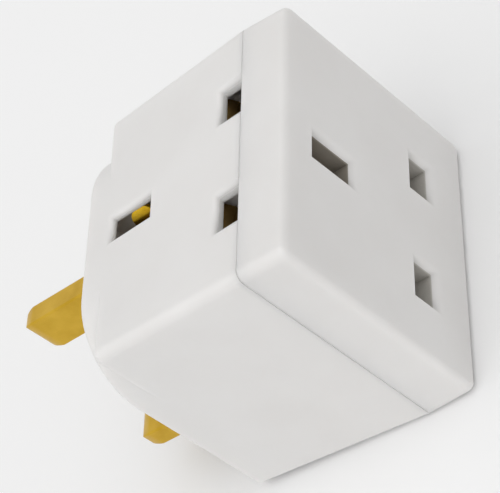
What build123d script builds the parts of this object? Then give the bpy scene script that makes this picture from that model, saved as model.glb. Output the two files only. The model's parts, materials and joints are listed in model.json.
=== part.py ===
from build123d import *

import os
from math import atan2, degrees

# Wall adapter with flat pins: a moulded body that plugs into a wall outlet and gives two more outlets.
# The origin is the middle of the pin pattern on the plug face. +Y points into the wall along the pins,
# +Z points up towards the earth pin, and +X is to the right as seen by someone facing the adapter.

# Body, millimetres
body_width = 52.6
body_height = 45.9
cover_depth = 8.9
main_depth = 40.2
boss_depth = 4.4
cover_inset = 0.4
housing_inset = 1.0
core_inset = 0.3
corner_radius = 1.8
inner_corner_radius = 1.0
front_edge_radius = 1.2
shoulder_edge_radius = 1.4
boss_corner_radius = 14.5
boss_edge_radius = 1.4
wall = 2.0
front_plate = 2.4
boss_wall = 3.0
earth_to_top = 11.9

# Joint between the cover and the housing
seam_groove = 0.15
tongue_height = 1.6
tongue_inset = 1.0
tongue_thickness = 0.8
tongue_clearance = 0.1

# Pin pattern and pins
pin_pitch = 22.23
pin_thickness = 4.0
earth_pin_width = 8.0
earth_pin_length = 22.7
line_pin_width = 6.35
line_pin_length = 17.7
pin_edge = 0.4
tip_radius = 1.6
tip_side_radius = 1.4
sleeve_length = 9.5
sleeve_thickness = 0.6
sleeve_seat = 2.0

# Outlet openings
slot_thickness = 4.8
earth_slot_length = 8.9
line_slot_length = 7.0
lead_in = 0.7
mouth_edge = 0.25
collar_wall = 1.2
collar_depth = 4.6

# Contact springs, bus bars and rivets
contact_thickness = 0.8
contact_bend = 0.9
contact_half_gap = 1.75
contact_base_half_gap = 2.6
contact_lip_half_gap = 2.7
contact_lip_length = 1.8
contact_pinch_length = 2.2
earth_contact_width = 4.4
line_contact_width = 7.4
earth_contact_corner = 1.6
line_contact_corner = 0.6
pin_tip_clearance = 1.2
contact_wall_gap = 0.3
bar_thickness = 1.0
bar_bend = 0.8
earth_bar_width = 7.0
line_bar_width = 7.0
bar_end = 4.6
bar_floor_gap = 0.4
tenon_thickness = 2.4
tenon_side = 1.2
tenon_head = 0.6
tenon_head_rim = 0.4
rivet_radius = 1.0
rivet_head_radius = 1.5
rivet_head = 0.6
rivet_head_edge = 0.3
rivet_clearance = 0.03

# Barriers, posts and cover screw
barrier_thickness = 1.2
barrier_setback = 1.2
screw_gap = 1.2
screw_radius = 1.5
screw_length = 14.0
screw_head_radius = 2.9
screw_head = 2.0
screw_head_edge = 0.8
screw_recess = 1.1
screw_recess_width = 0.9
screw_recess_span = 3.4
screw_clearance = 0.2
thread_clearance = 0.05
head_sink = 2.2
post_radius = 3.4
post_depth = 33.0
post_gap = 0.1
sleeve_wall = 1.2

total_depth = main_depth + boss_depth
housing_run = main_depth - cover_depth
cover_taper = degrees(atan2(cover_inset, cover_depth))
housing_taper = degrees(atan2(housing_inset, housing_run))
core_taper = degrees(atan2(core_inset, housing_run))
top_z = pin_pitch / 2 + earth_to_top
mid_z = top_z - body_height / 2
earth_z = pin_pitch / 2
line_z = -pin_pitch / 2
top_line_depth = cover_depth + slot_thickness / 2
earth_base = earth_pin_length + pin_tip_clearance
line_base = line_pin_length + pin_tip_clearance
earth_seat = earth_base + contact_thickness
line_seat = line_base + contact_thickness
boss_floor = total_depth - boss_wall
barrier_offset = (earth_bar_width + pin_pitch - line_contact_width) / 4
earth_bar_low = top_z - earth_seat - bar_thickness - rivet_head
screw_z = earth_bar_low - screw_gap - sleeve_wall - post_radius

poles = {
    "earth": (0, pin_pitch / 2),
    "line": (pin_pitch / 2, -pin_pitch / 2),
    "neutral": (-pin_pitch / 2, -pin_pitch / 2),
}
front_outlet = Plane(origin=(0, -total_depth, 0), x_dir=(1, 0, 0), z_dir=(0, -1, 0))
top_outlet_y = top_line_depth + pin_pitch / 2 - total_depth
top_outlet = Plane(origin=(0, top_outlet_y, top_z), x_dir=(1, 0, 0), z_dir=(0, 0, 1))


def facing_rear(depth):
    """Plane across the body, so far behind the front face, with local y upwards."""
    return Plane(origin=(0, depth - total_depth, mid_z), x_dir=(-1, 0, 0), z_dir=(0, 1, 0))


def facing_front(depth):
    return Plane(origin=(0, depth - total_depth, mid_z), x_dir=(1, 0, 0), z_dir=(0, -1, 0))


def drawn_in(inset, depth):
    """How far a side that draws in by an inset over the housing's run has done so behind the front face."""
    return inset * (depth - cover_depth) / housing_run


def seam_outline(inset, radius):
    """Section of the body at the seam, drawn in evenly by an inset."""
    return RectangleRounded(body_width - 2 * inset, body_height - 2 * inset, radius)


def tongue_outline(clearance):
    """Outer edge of the tongue, grown by a clearance, along the body's rounded corners."""
    inset = tongue_inset - clearance
    return seam_outline(inset, corner_radius - inset)


def drafted_block(plane, inset, length, taper, low_radius, top_radius):
    """Block over the body's section that narrows along its length, with its four long edges rounded."""
    block = extrude(plane * Rectangle(body_width - 2 * inset, body_height - 2 * inset), length)
    block = draft(block.faces().filter_by(Axis.Y, reverse=True), plane, taper)
    long_edges = [edge for edge in block.edges() if abs((edge % 0.5).Y) > 0.9]
    low = [edge for edge in long_edges if edge.center().Z < mid_z]
    block = fillet(low, low_radius)
    long_edges = [edge for edge in block.edges() if abs((edge % 0.5).Y) > 0.9]
    top = sorted(long_edges, key=lambda edge: edge.center().Z)[-2:]
    return fillet(top, top_radius)


def slot_size(pole):
    if pole == "earth":
        return slot_thickness, earth_slot_length
    return line_slot_length, slot_thickness


def slot_prism(pole, margin, top, bottom):
    """Prism over a slot in an outlet's own frame, grown by a margin, between two depths below the face."""
    width, height = slot_size(pole)
    x, y = poles[pole]
    prism = Box(width + 2 * margin, height + 2 * margin, bottom - top)
    return Pos(x, y, -(top + bottom) / 2) * prism


def rod(plane, radius, length):
    return extrude(plane * Circle(radius), length)


def screw_plane(depth):
    """Plane at a depth behind the front face on the screw's line, facing the rear."""
    return Plane(origin=(0, depth - total_depth, screw_z), x_dir=(1, 0, 0), z_dir=(0, 1, 0))


def front_cover():
    """Shallow tray with the front outlet's openings, guide collars behind them and the screw post."""
    rim = facing_front(cover_depth)
    cover = drafted_block(rim, 0, cover_depth, cover_taper, corner_radius, corner_radius)
    cover = fillet(cover.faces().sort_by(Axis.Y)[0].edges(), front_edge_radius)
    cover = chamfer(cover.faces().sort_by(Axis.Y)[-1].edges(), seam_groove)
    cover -= extrude(rim * seam_outline(wall, inner_corner_radius), cover_depth - front_plate)
    cover -= extrude(rim * tongue_outline(tongue_clearance), tongue_height + tongue_clearance)
    for pole in poles:
        cover += front_outlet * slot_prism(pole, collar_wall, front_plate / 2, collar_depth)
    cover += rod(screw_plane(front_plate / 2), post_radius, post_depth - front_plate / 2)
    for pole in poles:
        cover -= front_outlet * slot_prism(pole, 0, -front_plate, collar_depth + front_plate)
    pilot = head_depth() - screw_length - post_gap
    cover -= rod(screw_plane(pilot), screw_radius + thread_clearance, post_depth - pilot)
    face = cover.faces().sort_by(Axis.Y)[0]
    mouths = [edge for wire in face.inner_wires() for edge in wire.edges()]
    return fillet(mouths, lead_in)


def head_depth():
    """Depth behind the front face of the seat under the screw's head."""
    return total_depth - head_sink - screw_head


def with_shoulders(boss, main):
    """Adds the square upper corners of the main body to a block that has the boss's corners all along."""
    return boss + split(main, Plane.XY.offset(mid_z), keep=Keep.TOP)


def rear_rounded(block, radius):
    return fillet(block.faces().sort_by(Axis.Y)[-1].edges(), radius)


def housing_outside():
    """Outer form of the housing, a drafted box with the plug boss on its rear."""
    seam = facing_rear(cover_depth)
    boss_run = total_depth - cover_depth
    main = drafted_block(seam, 0, housing_run, housing_taper, corner_radius, corner_radius)
    boss = drafted_block(seam, 0, boss_run, housing_taper, corner_radius, boss_corner_radius)
    return with_shoulders(rear_rounded(boss, boss_edge_radius), rear_rounded(main, shoulder_edge_radius))


def housing_hollow():
    """Hollow of the housing, open towards the cover and stepped like the outside."""
    seam = facing_rear(cover_depth)
    radius = inner_corner_radius
    boss_run = boss_floor - cover_depth
    main = drafted_block(seam, wall, housing_run - wall, core_taper, radius, radius)
    boss = drafted_block(seam, wall, boss_run, core_taper, radius, boss_corner_radius - wall)
    return with_shoulders(boss, main)


def rear_housing():
    """Deep shell with the plug boss, the top outlet's openings, barriers, bar rests and the screw sleeve."""
    cavity = housing_hollow()
    housing = housing_outside() - cavity
    ring = tongue_outline(0) - seam_outline(tongue_inset + tongue_thickness, inner_corner_radius)
    housing += extrude(facing_front(cover_depth) * ring, tongue_height)
    barrier_run = total_depth - cover_depth - barrier_setback
    rest_y = (line_seat + boss_floor) / 2 - total_depth
    for side in (-1, 1):
        barrier = Box(barrier_thickness, barrier_run, body_height)
        housing += Pos(side * barrier_offset, -barrier_run / 2, mid_z) * barrier & cavity
        rest = Box(line_bar_width, barrier_thickness, body_height)
        rest_z = line_bar_low() - body_height / 2
        housing += Pos(side * pin_pitch / 2, rest_y, rest_z) * rest & cavity
    sleeve_start = post_depth + post_gap
    housing += rod(screw_plane(sleeve_start), post_radius + sleeve_wall, boss_floor - sleeve_start)
    housing -= rod(screw_plane(sleeve_start), screw_radius + screw_clearance, total_depth - sleeve_start)
    housing -= rod(screw_plane(head_depth()), screw_head_radius + screw_clearance, total_depth)
    for pole in poles:
        housing -= plug_section(pole, 0, boss_floor - total_depth, boss_depth)
        housing -= top_outlet * slot_prism(pole, 0, -wall, 2 * wall + housing_inset)
    upper = [face for face in housing.faces() if face.center().Z > mid_z and face.normal_at().Z > 0.9]
    top = max(upper, key=lambda face: face.area)
    mouths = [edge for edge in top.edges() if is_mouth(edge)]
    return fillet(mouths, mouth_edge)


def line_bar_low():
    """Height of the underside of the line and neutral bars, just above the housing's floor at its rear end."""
    return top_z - body_height + wall + drawn_in(core_inset, boss_floor) + bar_floor_gap


def is_mouth(edge):
    """True for an edge of the top face that borders one of the top outlet's openings."""
    place = top_outlet.to_local_coords(edge.center())
    for pole, (x, y) in poles.items():
        width, height = slot_size(pole)
        if abs(place.X - x) < width / 2 + mouth_edge and abs(place.Y - y) < height / 2 + mouth_edge:
            return True
    return False


def pin_width(pole):
    return earth_pin_width if pole == "earth" else line_pin_width


def pin_plane(pole, y):
    """Plane across a plug pin at a place along it, with local x along the pin's width."""
    x, z = poles[pole]
    across = (0, 0, 1) if pole == "earth" else (1, 0, 0)
    return Plane(origin=(x, y, z), x_dir=across, z_dir=(0, 1, 0))


def plug_section(pole, inset, start, end):
    outline = RectangleRounded(pin_width(pole) - 2 * inset, pin_thickness - 2 * inset, pin_edge)
    return extrude(pin_plane(pole, start) * outline, end - start)


def pin_length(pole):
    return earth_pin_length if pole == "earth" else line_pin_length


def round_ended(plane, start, end, height, radius, depth):
    """Block along a plane's x direction whose far end is rounded, deep enough to cover a pin."""
    outline = Pos((start + end) / 2, 0) * Rectangle(end - start, height)
    outline = fillet(outline.vertices().sort_by(Axis.X)[-2:], radius)
    return extrude(plane * outline, depth, both=True)


def pin_end(pole, start):
    """Bare end of a pin from a place along it, rounded strongly over its faces and less over its sides."""
    width = pin_width(pole)
    length = pin_length(pole)
    across = pin_plane(pole, 0)
    side = Plane(origin=across.origin, x_dir=(0, 1, 0), z_dir=across.x_dir)
    face = Plane(origin=across.origin, x_dir=(0, 1, 0), z_dir=across.y_dir)
    end = plug_section(pole, 0, start, length)
    end &= round_ended(side, start, length, pin_thickness, tip_radius, width)
    return end & round_ended(face, start, length, width, tip_side_radius, pin_thickness)


def plug_pin(pole):
    """Solid pin with a rounded end, a tenon through its bus bar and the tenon's spread head."""
    root = boss_floor - total_depth
    width = pin_width(pole)
    if pole == "earth":
        pin = pin_end(pole, root)
    else:
        pin = plug_section(pole, 0, root, -sleeve_seat)
        pin += plug_section(pole, sleeve_thickness, -sleeve_seat, sleeve_length)
        pin += pin_end(pole, sleeve_length)
    bar_face = root - bar_thickness
    tenon_width = width - 2 * tenon_side
    pin += extrude(pin_plane(pole, bar_face) * Rectangle(tenon_width, tenon_thickness), bar_thickness)
    head = Rectangle(tenon_width + 2 * tenon_head_rim, tenon_thickness + 2 * tenon_head_rim)
    return pin + extrude(pin_plane(pole, bar_face - tenon_head) * head, tenon_head)


def pin_sleeve(pole):
    sleeve = plug_section(pole, 0, -sleeve_seat, sleeve_length)
    return sleeve - plug_section(pole, sleeve_thickness, -sleeve_seat, sleeve_length)


def contact_start(pole, outlet):
    """Depth below an outlet's face where the lips of a contact begin."""
    if outlet == "front":
        return collar_depth + contact_wall_gap
    rear_edge = total_depth + top_outlet_y + poles[pole][1] + slot_size(pole)[1] / 2
    return wall + drawn_in(core_inset, rear_edge) + contact_wall_gap


def contact_base(pole):
    return earth_base if pole == "earth" else line_base


def contact_place(pole):
    """Places a contact modelled across local x over a pole of an outlet."""
    turn = 0 if pole == "earth" else 90
    return Pos(*poles[pole], 0) * Rot(0, 0, turn)


def contact(pole, outlet):
    """Spring clip folded from strip: a flat base, two leaves that close on the pin, and lips that spread."""
    start = contact_start(pole, outlet)
    base = contact_base(pole)
    pinch = start + contact_lip_length
    skin = contact_thickness / 2
    half = [
        (contact_lip_half_gap + skin, -start),
        (contact_half_gap + skin, -pinch),
        (contact_half_gap + skin, -pinch - contact_pinch_length),
        (contact_base_half_gap + skin, -base - skin),
    ]
    mirrored = [(-x, z) for x, z in reversed(half)]
    width = earth_contact_width if pole == "earth" else line_contact_width
    corner = earth_contact_corner if pole == "earth" else line_contact_corner
    clip = strip(Plane.XZ, half + mirrored, contact_bend, contact_thickness, width)
    straight = clip.edges().filter_by(GeomType.LINE)
    lips = [edge for edge in straight if edge.center().Z > -pinch]
    corners = [edge for edge in lips if edge.length < 1.1 * contact_thickness]
    clip = fillet(corners, corner)
    clip -= Pos(0, 0, -base) * Cylinder(rivet_radius + rivet_clearance, 4 * contact_thickness)
    return contact_place(pole) * clip


def strip(plane, points, bend, thickness, width):
    """Strip of metal folded along the line in the middle of its thickness, with an inner bend radius."""
    line = FilletPolyline(*points, radius=bend + thickness / 2)
    return extrude(plane * trace(line, thickness), width / 2, both=True)


def contact_rivet(pole):
    """Rivet through a contact's base and its bus bar, with a low bevelled head on each side."""
    middle = (contact_thickness + bar_thickness) / 2
    outer = middle + rivet_head
    half = [
        (0, outer),
        (rivet_head_radius - rivet_head_edge, outer),
        (rivet_head_radius, outer - rivet_head_edge),
        (rivet_head_radius, middle),
        (rivet_radius, middle),
    ]
    mirrored = [(x, -z) for x, z in reversed(half)]
    profile = make_face(Plane.XZ * Polyline(*half, *mirrored, close=True))
    return contact_place(pole) * Pos(0, 0, -contact_base(pole) - middle) * revolve(profile, Axis.Z)


def bar_profile(pole):
    """Fold line in the middle of a bus bar's thickness, as depth behind the front face and height."""
    skin = bar_thickness / 2
    seat = earth_seat if pole == "earth" else line_seat
    under = top_z - seat - skin
    front = seat + skin
    rear = boss_floor - skin
    if pole == "earth":
        high = earth_z + bar_end
        return [(front, high), (front, under), (rear, under), (rear, high)]
    low = line_bar_low() + skin
    start = top_line_depth - line_bar_width / 2
    return [(start, under), (front, under), (front, low), (rear, low), (rear, line_z + bar_end)]


def bus_bar(pole):
    """Folded strip that carries the two contacts of a pole and is staked to its plug pin."""
    width = earth_bar_width if pole == "earth" else line_bar_width
    side_plane = Plane(origin=(poles[pole][0], -total_depth, 0), x_dir=(0, 1, 0), z_dir=(1, 0, 0))
    bar = strip(side_plane, bar_profile(pole), bar_bend, bar_thickness, width)
    root = boss_floor - total_depth
    tenon = Rectangle(pin_width(pole) - 2 * tenon_side, tenon_thickness)
    bar -= extrude(pin_plane(pole, root - 2 * bar_thickness) * tenon, 3 * bar_thickness)
    hole = contact_place(pole) * Pos(0, 0, -contact_base(pole) - contact_thickness - bar_thickness / 2)
    hole *= Cylinder(rivet_radius + rivet_clearance, 2 * bar_thickness)
    for outlet in (front_outlet, top_outlet):
        bar -= outlet * hole
    return bar


def cover_screw():
    """Pan-head screw with a cross recess, from the plug face into the cover's post."""
    seat = head_depth()
    head = rod(screw_plane(seat), screw_head_radius, screw_head)
    head = fillet(head.edges().sort_by(Axis.Y)[-1], screw_head_edge)
    screw = head + rod(screw_plane(seat - screw_length), screw_radius, screw_length)
    blade = Rectangle(screw_recess_span, screw_recess_width)
    recess = blade + Rot(0, 0, 90) * blade
    return screw - extrude(screw_plane(seat + screw_head - screw_recess) * recess, screw_recess)


nodes = {"front_cover": front_cover(), "rear_housing": rear_housing(), "cover_screw": cover_screw()}
for pole in poles:
    nodes[f"{pole}_pin"] = plug_pin(pole)
    nodes[f"{pole}_bus_bar"] = bus_bar(pole)
    for outlet, plane in (("front", front_outlet), ("top", top_outlet)):
        nodes[f"{pole}_{outlet}_contact"] = plane * contact(pole, outlet)
        nodes[f"{pole}_{outlet}_rivet"] = plane * contact_rivet(pole)
    if pole != "earth":
        nodes[f"{pole}_pin_sleeve"] = pin_sleeve(pole)

os.makedirs("parts", exist_ok=True)
for name, shape in nodes.items():
    export_step(shape, f"parts/{name}.step")
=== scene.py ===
import json

import bmesh
import bpy
from mathutils import Matrix, Vector


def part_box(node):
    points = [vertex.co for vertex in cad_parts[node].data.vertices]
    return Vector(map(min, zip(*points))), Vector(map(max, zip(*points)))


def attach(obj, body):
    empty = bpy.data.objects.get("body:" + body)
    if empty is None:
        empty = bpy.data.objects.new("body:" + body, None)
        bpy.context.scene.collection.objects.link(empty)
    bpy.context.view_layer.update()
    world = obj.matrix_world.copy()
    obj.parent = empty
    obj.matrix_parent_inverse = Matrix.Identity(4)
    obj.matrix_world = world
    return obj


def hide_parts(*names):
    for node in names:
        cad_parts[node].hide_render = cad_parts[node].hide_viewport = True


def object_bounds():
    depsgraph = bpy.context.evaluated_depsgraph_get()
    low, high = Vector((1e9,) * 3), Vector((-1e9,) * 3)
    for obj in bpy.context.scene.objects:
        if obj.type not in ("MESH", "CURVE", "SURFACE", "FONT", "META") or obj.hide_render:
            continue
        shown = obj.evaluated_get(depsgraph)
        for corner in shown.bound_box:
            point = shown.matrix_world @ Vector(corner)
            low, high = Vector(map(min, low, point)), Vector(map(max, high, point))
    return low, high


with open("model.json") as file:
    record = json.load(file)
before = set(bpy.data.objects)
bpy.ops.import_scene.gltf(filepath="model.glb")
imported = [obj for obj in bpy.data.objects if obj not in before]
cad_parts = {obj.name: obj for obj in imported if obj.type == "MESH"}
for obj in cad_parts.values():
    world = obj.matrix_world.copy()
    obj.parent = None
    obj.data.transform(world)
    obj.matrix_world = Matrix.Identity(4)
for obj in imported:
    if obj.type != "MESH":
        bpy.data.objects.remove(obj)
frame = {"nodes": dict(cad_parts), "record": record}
cad_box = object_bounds()

MM = 0.001
X, Y, Z = 0, 1, 2

# Camera: its place, its right and up directions, its focal length in pixels, and the range it shows
IMAGE_WIDTH = 500
CAMERA_PLACE = Vector((-0.193004, -0.179713, 0.17279))
CAMERA_RIGHT = Vector((0.017679, -0.737398, -0.675227))
CAMERA_UP = Vector((0.768509, -0.421986, 0.48096))
FOCAL_PIXELS = 1854.9
SENSOR_WIDTH = 36
NEAREST = 0.01
FARTHEST = 100

# Floor and background
FLOOR_SIZE = 8
FLOOR_TONE = 0.94
BACKGROUND = 0.863

# Studio sky: an even level, and a broad glow around one direction
SKY_LEVEL = 0.05
GLOW_LEVEL = 1.31
GLOW_FROM = Vector((-0.31, -0.04, 1)).normalized()

# Openings: half sizes of the earth slots and of the other slots, across and along the pins' pattern
EARTH_SLOT = (2.4 * MM, 4.45 * MM)
LINE_SLOT = (3.5 * MM, 2.4 * MM)

# Rounded mouths of the openings: radius in the solids and radius shown
FRONT_MOUTH = (0.7 * MM, 1.3 * MM)
TOP_MOUTH = (0.25 * MM, 0.9 * MM)

# Material slots of the walls of the openings, whose materials carry painted shade or painted light
EARTH_WALL = 1
LINE_WALL = 2

# The housing's top face starts at the seam and falls by an inset over its run to the rear
SEAM_PLACE = -35.7 * MM
HOUSING_INSET = 1.0 * MM
HOUSING_RUN = 31.3 * MM

# Pin ends: length of the taper, its inset at the end, how it grows along the way, and its number of steps
TIP_RUN = 3.0 * MM
TIP_INSET = 1.0 * MM
TIP_POWER = 1.5
TIP_STEPS = 10

# Distances within which vertices are one, and within which they belong to the rim of a mouth
WELD = 0.001 * MM
RIM = 0.03 * MM

# Painted shade on the walls of the openings and on the lips of the top earth contact: reach, colour left,
# openness where it is full and where it ends, samples
RECESS_REACH = 6 * MM
RECESS_SHADE = (0.3, 0.28, 0.25)
RECESS_OPEN = (0.15, 0.55)
RECESS_SAMPLES = 8

# Heights between which painted shade darkens the lips of the top earth contact downwards
LEAF_SHADE = (19.1 * MM, 19.5 * MM)

# Range in which most values of a noise lie
NOISE_RANGE = (0.3, 0.7)

# Plastic: grain, waves and clouds, spread of its roughness, shine, and how far light goes into it
GRAIN_SIZE = 0.22 * MM
GRAIN_HEIGHT = 0.006 * MM
WAVE_SIZE = 9 * MM
WAVE_HEIGHT = 0.03 * MM
CLOUD_SIZE = 14 * MM
PLASTIC_SPREAD = 0.04
PLASTIC_SHINE = 0.4
GLOW_COLOUR = (1, 0.98, 0.96)
GLOW_REACH = 2 * MM

# Metal: drawn lines and how far they are drawn out, stains, and spread of its roughness down and up
LINE_SIZE = 0.12 * MM
LINE_HEIGHT = 0.004 * MM
LINE_STRETCH = 0.03
STAIN_SIZE = 3.5 * MM
METAL_SPREAD = (0.06, 0.08)


def new_material(name):
    """New node material with a Principled shader on its output."""
    made = bpy.data.materials.new(name)
    made.use_nodes = True
    tree = made.node_tree
    return made, tree, tree.nodes["Principled BSDF"]


def place(tree, stretch=(1, 1, 1)):
    """Object coordinates, stretched along the axes."""
    source = tree.nodes.new("ShaderNodeTexCoord")
    mapping = tree.nodes.new("ShaderNodeMapping")
    mapping.inputs["Scale"].default_value = stretch
    tree.links.new(source.outputs["Object"], mapping.inputs["Vector"])
    return mapping.outputs["Vector"]


def noise(tree, vector, size, detail):
    """Noise with features of about that size, in metres."""
    made = tree.nodes.new("ShaderNodeTexNoise")
    made.inputs["Scale"].default_value = 1 / size
    made.inputs["Detail"].default_value = detail
    tree.links.new(vector, made.inputs["Vector"])
    return made.outputs["Fac"]


def spread(tree, value, low, high):
    """Noise value taken from its usual range to another one."""
    made = tree.nodes.new("ShaderNodeMapRange")
    made.inputs["From Min"].default_value = NOISE_RANGE[0]
    made.inputs["From Max"].default_value = NOISE_RANGE[1]
    made.inputs["To Min"].default_value = low
    made.inputs["To Max"].default_value = high
    tree.links.new(value, made.inputs["Value"])
    return made.outputs["Result"]


def tint(tree, value, low, high):
    """Colour between two, by a noise value."""
    made = tree.nodes.new("ShaderNodeValToRGB")
    for element, position, colour in zip(made.color_ramp.elements, NOISE_RANGE, (low, high)):
        element.position = position
        element.color = (*colour, 1)
    tree.links.new(value, made.inputs["Fac"])
    return made.outputs["Color"]


def bump(tree, value, height, below=None):
    """Bump of that height in metres, over another one if given."""
    made = tree.nodes.new("ShaderNodeBump")
    made.inputs["Strength"].default_value = 1
    made.inputs["Distance"].default_value = height
    tree.links.new(value, made.inputs["Height"])
    if below is not None:
        tree.links.new(below, made.inputs["Normal"])
    return made.outputs["Normal"]


def openness(tree):
    """Share of the space over a point that its own piece leaves open."""
    made = tree.nodes.new("ShaderNodeAmbientOcclusion")
    made.only_local = True
    made.samples = RECESS_SAMPLES
    made.inputs["Distance"].default_value = RECESS_REACH
    return made.outputs["AO"]


def height_of(tree):
    """Height of a point above the frame's origin."""
    made = tree.nodes.new("ShaderNodeSeparateXYZ")
    tree.links.new(place(tree), made.inputs["Vector"])
    return made.outputs["Z"]


def shaded(tree, colour, value, levels):
    """Colour with painted shade, which goes dark as a value falls from the higher of two levels to the lower
    one.
    """
    fade = tree.nodes.new("ShaderNodeMapRange")
    fade.interpolation_type = "SMOOTHSTEP"
    fade.inputs["From Min"].default_value = levels[0]
    fade.inputs["From Max"].default_value = levels[1]
    tree.links.new(value, fade.inputs["Value"])
    shade = tree.nodes.new("ShaderNodeValToRGB")
    shade.color_ramp.elements[0].color = (*RECESS_SHADE, 1)
    shade.color_ramp.elements[1].color = (1, 1, 1, 1)
    tree.links.new(fade.outputs["Result"], shade.inputs["Fac"])
    product = tree.nodes.new("ShaderNodeVectorMath")
    product.operation = "MULTIPLY"
    tree.links.new(colour, product.inputs[0])
    tree.links.new(shade.outputs["Color"], product.inputs[1])
    return product.outputs["Vector"]


def moulded_plastic(name, low, high, roughness, glow, paint_recess_shade=False):
    """Moulded plastic with a fine eroded grain, slight waviness and faint cloudiness, and, when asked,
    painted shade where its own piece hides the space over a point.
    """
    made, tree, shader = new_material(name)
    vector = place(tree)
    grain = noise(tree, vector, GRAIN_SIZE, detail=3)
    waves = noise(tree, vector, WAVE_SIZE, detail=1)
    clouds = noise(tree, vector, CLOUD_SIZE, detail=4)
    colour = tint(tree, clouds, low, high)
    if paint_recess_shade:
        # painted shade: the walls of the openings go dark where their own piece hides the space over them
        colour = shaded(tree, colour, openness(tree), RECESS_OPEN)
    matt = spread(tree, grain, roughness - PLASTIC_SPREAD, roughness + PLASTIC_SPREAD)
    relief = bump(tree, grain, GRAIN_HEIGHT, below=bump(tree, waves, WAVE_HEIGHT))
    tree.links.new(colour, shader.inputs["Base Color"])
    tree.links.new(matt, shader.inputs["Roughness"])
    tree.links.new(relief, shader.inputs["Normal"])
    shader.inputs["Specular IOR Level"].default_value = PLASTIC_SHINE
    shader.inputs["Subsurface Weight"].default_value = glow
    shader.inputs["Subsurface Radius"].default_value = GLOW_COLOUR
    shader.inputs["Subsurface Scale"].default_value = GLOW_REACH
    return made


def drawn_metal(name, low, high, roughness, along, paint_lip_shade=False):
    """Metal with fine lines along one axis and a slightly uneven tarnish, and, when asked, painted shade that
    darkens a leaf's lips downwards.
    """
    made, tree, shader = new_material(name)
    stretch = tuple(LINE_STRETCH if axis == along else 1 for axis in "XYZ")
    lines = noise(tree, place(tree, stretch), LINE_SIZE, detail=3)
    stains = noise(tree, place(tree), STAIN_SIZE, detail=4)
    colour = tint(tree, stains, low, high)
    if paint_lip_shade:
        # painted shade: the lips go dark below the LEAF_SHADE heights
        colour = shaded(tree, colour, height_of(tree), LEAF_SHADE)
    matt = spread(tree, lines, roughness - METAL_SPREAD[0], roughness + METAL_SPREAD[1])
    tree.links.new(colour, shader.inputs["Base Color"])
    tree.links.new(matt, shader.inputs["Roughness"])
    tree.links.new(bump(tree, lines, LINE_HEIGHT), shader.inputs["Normal"])
    shader.inputs["Metallic"].default_value = 1
    return made


# Plastics: darker and lighter colour of the clouds, roughness, and share of light that goes into the plastic;
# the openings' walls are white plastic painted darker as painted shade, or lighter as painted light
white = moulded_plastic("white_plastic", (0.79, 0.775, 0.76), (0.82, 0.808, 0.795), 0.42, 0.7)
# Front openings' walls: white plastic painted darker as painted shade, darkest in the earth slot, with more
# painted shade with depth
earth_wall_painted_shade = moulded_plastic("earth_opening_painted_shade", (0.28, 0.25, 0.21), (0.32, 0.29, 0.25), 0.5, 0, paint_recess_shade=True)
line_wall_painted_shade = moulded_plastic("line_opening_painted_shade", (0.56, 0.54, 0.5), (0.6, 0.58, 0.54), 0.5, 0, paint_recess_shade=True)
# Top openings' walls: white plastic painted lighter, a painted light
top_wall_painted_light = moulded_plastic("top_opening_painted_light", (0.93, 0.91, 0.89), (0.95, 0.935, 0.92), 0.42, 0.7)
black = moulded_plastic("sleeve_plastic", (0.012, 0.012, 0.013), (0.02, 0.02, 0.02), 0.45, 0)

# Metals: darker and lighter colour of the tarnish, roughness, and axis of the drawn lines; the top earth
# contact's brass is painted lighter as painted light, the other contacts' brass painted dark as painted shade
pin_brass = drawn_metal("pin_brass", (0.57, 0.35, 0.03), (0.67, 0.43, 0.05), 0.34, "Y")
contact_brass = drawn_metal("contact_brass", (0.8, 0.5, 0.03), (0.92, 0.6, 0.05), 0.3, "Z")
# Top earth contact: brass painted lighter as painted light, with painted shade on its lips downwards
leaf_brass_painted_light_and_shade = drawn_metal("leaf_brass_painted_light_and_shade", (0.9, 0.56, 0.03), (0.98, 0.64, 0.05), 0.3, "Z", paint_lip_shade=True)
# Contacts other than the earth ones: brass painted dark as painted shade
shade_painted_brass = drawn_metal("brass_with_painted_shade", (0.16, 0.1, 0.035), (0.24, 0.155, 0.05), 0.4, "Z")
steel = drawn_metal("screw_steel", (0.5, 0.5, 0.5), (0.62, 0.62, 0.63), 0.32, "X")

finishes = {
    "white_plastic": white,
    "sleeve_plastic": black,
    "pin_brass": pin_brass,
    "contact_brass": contact_brass,
    "screw_steel": steel,
}
# Wall materials by piece: painted shade in the front openings, painted light in the top ones
walls = {"front_cover": (earth_wall_painted_shade, line_wall_painted_shade), "rear_housing": (top_wall_painted_light, top_wall_painted_light)}


def finish_of(name, slot):
    """Material of a piece, by its name or else by its slot."""
    # painted light and shade on the top earth contact, painted shade on the contacts that are not earth ones
    if name == "earth_top_contact":
        return leaf_brass_painted_light_and_shade
    if name.endswith("contact") and not name.startswith("earth"):
        return shade_painted_brass
    return finishes[slot]


def front_depth(point):
    """Depth of a point below the front face."""
    return point.y - cad_box[0].y


def top_depth(point):
    """Depth of a point below the drafted top face."""
    fall = (point.y - SEAM_PLACE) * HOUSING_INSET / HOUSING_RUN
    return cad_box[1].z - fall - point.z


def openings_of(outlet):
    """Name, middle, half sizes and wall slot of each opening of an outlet."""
    for opening in frame["record"]["physics"]["openings"]:
        name = opening["name"]
        if not name.startswith(outlet):
            continue
        low, high = (Vector(corner) for corner in opening["box_m"])
        middle = (low + high) / 2
        if "earth" in name:
            yield name, middle, EARTH_SLOT, EARTH_WALL
        else:
            yield name, middle, LINE_SLOT, LINE_WALL


def beyond_slot(point, middle, half, axes):
    """How far a point lies beyond the sides of a slot, along each of its two axes."""
    return [abs(point[axis] - middle[axis]) - size for axis, size in zip(axes, half)]


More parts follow.
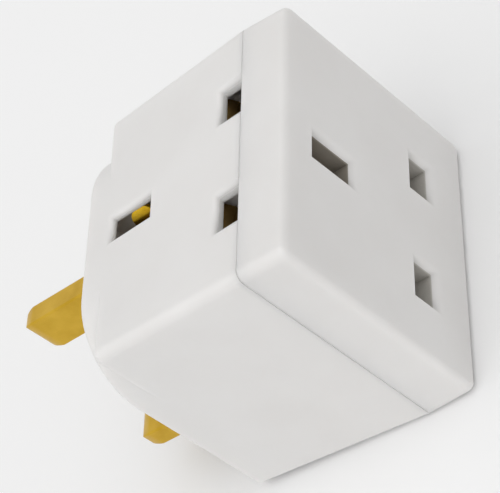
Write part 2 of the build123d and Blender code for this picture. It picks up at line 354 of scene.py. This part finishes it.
def widen_mouths(mesh, outlet, axes, depth, inward, radii):
    """Grows the rounded mouths of an outlet's three openings, and sets the materials of their walls, which
    carry painted shade or painted light.
    """
    small, large = radii
    growth = large / small
    mouth_of = {}
    for name, middle, half, wall in openings_of(outlet):
        for vert in mesh.verts:
            below = depth(vert.co)
            beyond = beyond_slot(vert.co, middle, half, axes)
            if not -RIM < max(beyond) < small + RIM or not -RIM < below < small + RIM:
                continue
            for axis, reach, size in zip(axes, beyond, half):
                if reach > 0:
                    side = 1 if vert.co[axis] > middle[axis] else -1
                    vert.co[axis] = middle[axis] + side * (size + reach * growth)
            vert.co += inward * below * (growth - 1)
            mouth_of[vert] = name
        for face in mesh.faces:
            centre = face.calc_center_median()
            if max(beyond_slot(centre, middle, half, axes)) < RIM and depth(centre) < RECESS_REACH:
                face.material_index = wall
    for face in mesh.faces:
        mouths = {mouth_of.get(vert) for vert in face.verts}
        face.smooth = None not in mouths and len(mouths) == 1


def taper_tip(mesh, name):
    """Draws the end of a pin in on all four sides, in small steps."""
    low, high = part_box(name)
    middle = (low + high) / 2
    start = high.y - TIP_RUN
    for step in range(TIP_STEPS):
        cut = start + TIP_RUN * step / TIP_STEPS
        everything = mesh.verts[:] + mesh.edges[:] + mesh.faces[:]
        bmesh.ops.bisect_plane(mesh, geom=everything, plane_co=(0, cut, 0), plane_no=(0, 1, 0))
    for vert in mesh.verts:
        share = (vert.co.y - start) / TIP_RUN
        if share <= 0:
            continue
        inset = TIP_INSET * min(share, 1) ** TIP_POWER
        for axis in (X, Z):
            half = high[axis] - middle[axis]
            vert.co[axis] = middle[axis] + (vert.co[axis] - middle[axis]) * (half - inset) / half
    for face in mesh.faces:
        face.smooth = all(vert.co.y > start - WELD for vert in face.verts)


def reshaped(name):
    """Copy of a node's mesh with its rounded mouths or tapered end, which stands for the node."""
    data = frame["nodes"][name].data.copy()
    data.materials.clear()
    if "custom_normal" in data.attributes:
        data.attributes.remove(data.attributes["custom_normal"])
    mesh = bmesh.new()
    mesh.from_mesh(data)
    bmesh.ops.remove_doubles(mesh, verts=mesh.verts, dist=WELD)
    if name == "front_cover":
        widen_mouths(mesh, "front", (X, Z), front_depth, Vector((0, 1, 0)), FRONT_MOUTH)
    elif name == "rear_housing":
        widen_mouths(mesh, "top", (X, Y), top_depth, Vector((0, 0, -1)), TOP_MOUTH)
    else:
        taper_tip(mesh, name)
    mesh.to_mesh(data)
    mesh.free()
    piece = bpy.data.objects.new(f"{name}_shown", data)
    bpy.context.scene.collection.objects.link(piece)
    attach(piece, "root")
    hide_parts(name)
    return piece


def ray_mix(tree, plain, seen):
    """Shader that lets camera, glossy and transmission rays see another one."""
    path = tree.nodes.new("ShaderNodeLightPath")
    either = tree.nodes.new("ShaderNodeMath")
    either.operation = "MAXIMUM"
    tree.links.new(path.outputs["Is Camera Ray"], either.inputs[0])
    tree.links.new(path.outputs["Is Glossy Ray"], either.inputs[1])
    through = tree.nodes.new("ShaderNodeMath")
    through.operation = "MAXIMUM"
    tree.links.new(either.outputs[0], through.inputs[0])
    tree.links.new(path.outputs["Is Transmission Ray"], through.inputs[1])
    mix = tree.nodes.new("ShaderNodeMixShader")
    tree.links.new(through.outputs[0], mix.inputs["Fac"])
    tree.links.new(plain, mix.inputs[1])
    tree.links.new(seen, mix.inputs[2])
    return mix.outputs[0]


def studio_world():
    """White light that grows towards the glow's direction, behind a plain pale background."""
    world = bpy.data.worlds.new("studio")
    bpy.context.scene.world = world
    world.use_nodes = True
    tree = world.node_tree
    source = tree.nodes.new("ShaderNodeTexCoord")
    toward = tree.nodes.new("ShaderNodeVectorMath")
    toward.operation = "DOT_PRODUCT"
    tree.links.new(source.outputs["Generated"], toward.inputs[0])
    toward.inputs[1].default_value = GLOW_FROM
    glow = tree.nodes.new("ShaderNodeMapRange")
    glow.interpolation_type = "SMOOTHSTEP"
    glow.inputs["To Min"].default_value = SKY_LEVEL
    glow.inputs["To Max"].default_value = SKY_LEVEL + GLOW_LEVEL
    tree.links.new(toward.outputs["Value"], glow.inputs["Value"])
    sky = tree.nodes["Background"]
    sky.inputs["Color"].default_value = (1, 1, 1, 1)
    tree.links.new(glow.outputs["Result"], sky.inputs["Strength"])
    pale = tree.nodes.new("ShaderNodeBackground")
    pale.inputs["Color"].default_value = (BACKGROUND, BACKGROUND, BACKGROUND, 1)
    shown_sky = ray_mix(tree, sky.outputs[0], pale.outputs[0])
    tree.links.new(shown_sky, tree.nodes["World Output"].inputs["Surface"])


def studio_floor():
    """Plain matt floor right under the object."""
    bpy.ops.mesh.primitive_plane_add(size=FLOOR_SIZE, location=(0, 0, cad_box[0].z))
    floor = bpy.context.object
    floor.name = "floor"
    paper, _, shader = new_material("floor_paper")
    shader.inputs["Base Color"].default_value = (FLOOR_TONE, FLOOR_TONE, FLOOR_TONE, 1)
    shader.inputs["Roughness"].default_value = 1
    shader.inputs["Specular IOR Level"].default_value = 0
    floor.data.materials.append(paper)


def rolled_camera():
    """Camera in front of the upper left corner, rolled by about a quarter turn."""
    camera = bpy.data.objects.new("camera", bpy.data.cameras.new("camera"))
    bpy.context.scene.collection.objects.link(camera)
    back = CAMERA_RIGHT.cross(CAMERA_UP)
    turn = Matrix((CAMERA_RIGHT, CAMERA_UP, back)).transposed().to_4x4()
    camera.matrix_world = Matrix.Translation(CAMERA_PLACE) @ turn
    camera.data.sensor_fit = "HORIZONTAL"
    camera.data.sensor_width = SENSOR_WIDTH
    camera.data.lens = FOCAL_PIXELS / IMAGE_WIDTH * SENSOR_WIDTH
    camera.data.clip_start = NEAREST
    camera.data.clip_end = FARTHEST
    bpy.context.scene.camera = camera


reshaped_names = ("front_cover", "rear_housing", "earth_pin", "line_pin", "neutral_pin")
shown = {name: reshaped(name) for name in reshaped_names}
for piece in frame["record"]["subparts"]:
    name = piece["node"]
    node = shown.get(name, frame["nodes"][name])
    if name not in shown:
        node.data.materials.clear()
    node.data.materials.append(finish_of(name, piece["material_slot"]))
    for wall in walls.get(name, ()):
        node.data.materials.append(wall)

studio_world()
studio_floor()
rolled_camera()
bpy.context.scene.view_settings.view_transform = "Standard"
